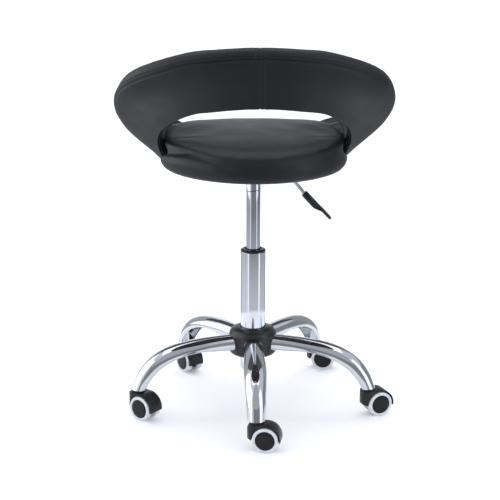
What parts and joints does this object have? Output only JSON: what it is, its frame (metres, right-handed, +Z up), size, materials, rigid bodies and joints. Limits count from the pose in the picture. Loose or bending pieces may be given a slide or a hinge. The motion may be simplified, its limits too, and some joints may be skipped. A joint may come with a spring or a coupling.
{
  "type": "rolling stylist stool",
  "caption": "Swivelling, height-adjustable salon stool with a round padded seat, a wrap-around crescent back, a chrome star base and twin-wheel casters.",
  "frame": {"origin": "on the floor, in the middle of the stool's outline; the gas lift's axis stands at x -6.0 mm, y +26.5 mm", "axes": "+Z up, +Y the way the sitter faces, +X the sitter's right, where the lift lever is"},
  "size_m": [0.5482, 0.4864, 0.7545],
  "materials": {
    "leather": "black grained artificial leather with a soft sheen",
    "plywood": "plain plywood",
    "chrome": "polished chrome plate",
    "steel": "zinc-plated steel",
    "black_plastic": "fine-textured black nylon",
    "grey_rubber": "pale grey soft tread"
  },
  "bodies": {
    "base": {"hub_socket": "steel", "hub_cover_top": "black_plastic", "hub_cover_bottom": "black_plastic", "arm_1": "chrome", "arm_2": "chrome", "arm_3": "chrome", "arm_4": "chrome", "arm_5": "chrome", "column_tube": "chrome", "column_bush": "black_plastic", "thrust_bearing": "steel", "caster_1_stem": "chrome", "caster_2_stem": "chrome", "caster_3_stem": "chrome", "caster_4_stem": "chrome", "caster_5_stem": "chrome"},
    "lift_rod": {"piston_rod": "steel"},
    "seat": {"gas_cylinder": "chrome", "mounting_plate": "steel", "seat_board": "plywood", "seat_cushion": "leather", "back_shell": "leather", "back_cushion": "leather", "seat_bolt_1": "steel", "seat_bolt_2": "steel", "seat_bolt_3": "steel", "seat_bolt_4": "steel"},
    "lever": {"lever_rod": "steel", "lever_handle": "black_plastic"},
    "release_button": {"release_pin": "steel"},
    "caster_1": {"caster_1_hood": "black_plastic", "caster_1_axle": "steel"},
    "caster_1_wheel_left": {"caster_1_wheel_left": "black_plastic", "caster_1_tyre_left": "grey_rubber"},
    "caster_1_wheel_right": {"caster_1_wheel_right": "black_plastic", "caster_1_tyre_right": "grey_rubber"},
    "caster_2": {"caster_2_hood": "black_plastic", "caster_2_axle": "steel"},
    "caster_2_wheel_left": {"caster_2_wheel_left": "black_plastic", "caster_2_tyre_left": "grey_rubber"},
    "caster_2_wheel_right": {"caster_2_wheel_right": "black_plastic", "caster_2_tyre_right": "grey_rubber"},
    "caster_3": {"caster_3_hood": "black_plastic", "caster_3_axle": "steel"},
    "caster_3_wheel_left": {"caster_3_wheel_left": "black_plastic", "caster_3_tyre_left": "grey_rubber"},
    "caster_3_wheel_right": {"caster_3_wheel_right": "black_plastic", "caster_3_tyre_right": "grey_rubber"},
    "caster_4": {"caster_4_hood": "black_plastic", "caster_4_axle": "steel"},
    "caster_4_wheel_left": {"caster_4_wheel_left": "black_plastic", "caster_4_tyre_left": "grey_rubber"},
    "caster_4_wheel_right": {"caster_4_wheel_right": "black_plastic", "caster_4_tyre_right": "grey_rubber"},
    "caster_5": {"caster_5_hood": "black_plastic", "caster_5_axle": "steel"},
    "caster_5_wheel_left": {"caster_5_wheel_left": "black_plastic", "caster_5_tyre_left": "grey_rubber"},
    "caster_5_wheel_right": {"caster_5_wheel_right": "black_plastic", "caster_5_tyre_right": "grey_rubber"}
  },
  "joints": [
    {"name": "seat_swivel", "type": "hinge", "parent": "base", "child": "lift_rod", "pos_m": [-0.006, 0.0265, 0.08], "axis": [0, 0, 1], "continuous": true},
    {"name": "height_lift", "type": "slide", "parent": "lift_rod", "child": "seat", "axis": [0, 0, 1], "range_m": [-0.125, 0]},
    {"name": "lever_tilt", "type": "hinge", "parent": "seat", "child": "lever", "pos_m": [0.028, 0.0265, 0.483], "axis": [0, -1, 0], "range_deg": [0, 6.5], "stiffness_Nm_per_rad": 1.5, "springref_deg": -8.59},
    {"name": "release_press", "type": "slide", "parent": "seat", "child": "release_button", "axis": [0, 0, -1], "range_m": [0, 0.0038]},
    {"name": "caster_1_swivel", "type": "hinge", "parent": "base", "child": "caster_1", "pos_m": [-0.0115, -0.21604, 0.05], "axis": [0, 0, 1], "continuous": true},
    {"name": "caster_1_spin_left", "type": "hinge", "parent": "caster_1", "child": "caster_1_wheel_left", "pos_m": [0.00708, -0.21999, 0.025], "axis": [-0.2079, -0.9781, 0], "continuous": true},
    {"name": "caster_1_spin_right", "type": "hinge", "parent": "caster_1", "child": "caster_1_wheel_right", "pos_m": [0.00708, -0.21999, 0.025], "axis": [-0.2079, -0.9781, 0], "continuous": true},
    {"name": "caster_2_swivel", "type": "hinge", "parent": "base", "child": "caster_2", "pos_m": [0.22297, -0.05368, 0.05], "axis": [0, 0, 1], "continuous": true},
    {"name": "caster_2_spin_left", "type": "hinge", "parent": "caster_2", "child": "caster_2_wheel_left", "pos_m": [0.24093, -0.0475, 0.025], "axis": [0.3256, -0.9455, 0], "continuous": true},
    {"name": "caster_2_spin_right", "type": "hinge", "parent": "caster_2", "child": "caster_2_wheel_right", "pos_m": [0.24093, -0.0475, 0.025], "axis": [0.3256, -0.9455, 0], "continuous": true},
    {"name": "caster_3_swivel", "type": "hinge", "parent": "base", "child": "caster_3", "pos_m": [0.14101, 0.21948, 0.05], "axis": [0, 0, 1], "continuous": true},
    {"name": "caster_3_spin_left", "type": "hinge", "parent": "caster_3", "child": "caster_3_wheel_left", "pos_m": [0.15966, 0.21586, 0.025], "axis": [-0.1908, -0.9816, 0], "continuous": true},
    {"name": "caster_3_spin_right", "type": "hinge", "parent": "caster_3", "child": "caster_3_wheel_right", "pos_m": [0.15966, 0.21586, 0.025], "axis": [-0.1908, -0.9816, 0], "continuous": true},
    {"name": "caster_4_swivel", "type": "hinge", "parent": "base", "child": "caster_4", "pos_m": [-0.14411, 0.22595, 0.05], "axis": [0, 0, 1], "continuous": true},
    {"name": "caster_4_spin_left", "type": "hinge", "parent": "caster_4", "child": "caster_4_wheel_left", "pos_m": [-0.13404, 0.20984, 0.025], "axis": [-0.848, -0.5299, 0], "continuous": true},
    {"name": "caster_4_spin_right", "type": "hinge", "parent": "caster_4", "child": "caster_4_wheel_right", "pos_m": [-0.13404, 0.20984, 0.025], "axis": [-0.848, -0.5299, 0], "continuous": true},
    {"name": "caster_5_swivel", "type": "hinge", "parent": "base", "child": "caster_5", "pos_m": [-0.23837, -0.04321, 0.05], "axis": [0, 0, 1], "continuous": true},
    {"name": "caster_5_spin_left", "type": "hinge", "parent": "caster_5", "child": "caster_5_wheel_left", "pos_m": [-0.22403, -0.05568, 0.025], "axis": [-0.6561, -0.7547, 0], "continuous": true},
    {"name": "caster_5_spin_right", "type": "hinge", "parent": "caster_5", "child": "caster_5_wheel_right", "pos_m": [-0.22403, -0.05568, 0.025], "axis": [-0.6561, -0.7547, 0], "continuous": true}
  ],
  "couplings": [
    {"joint": "release_press", "follows": "lever_tilt", "m_per_rad": 0.03345}
  ]
}
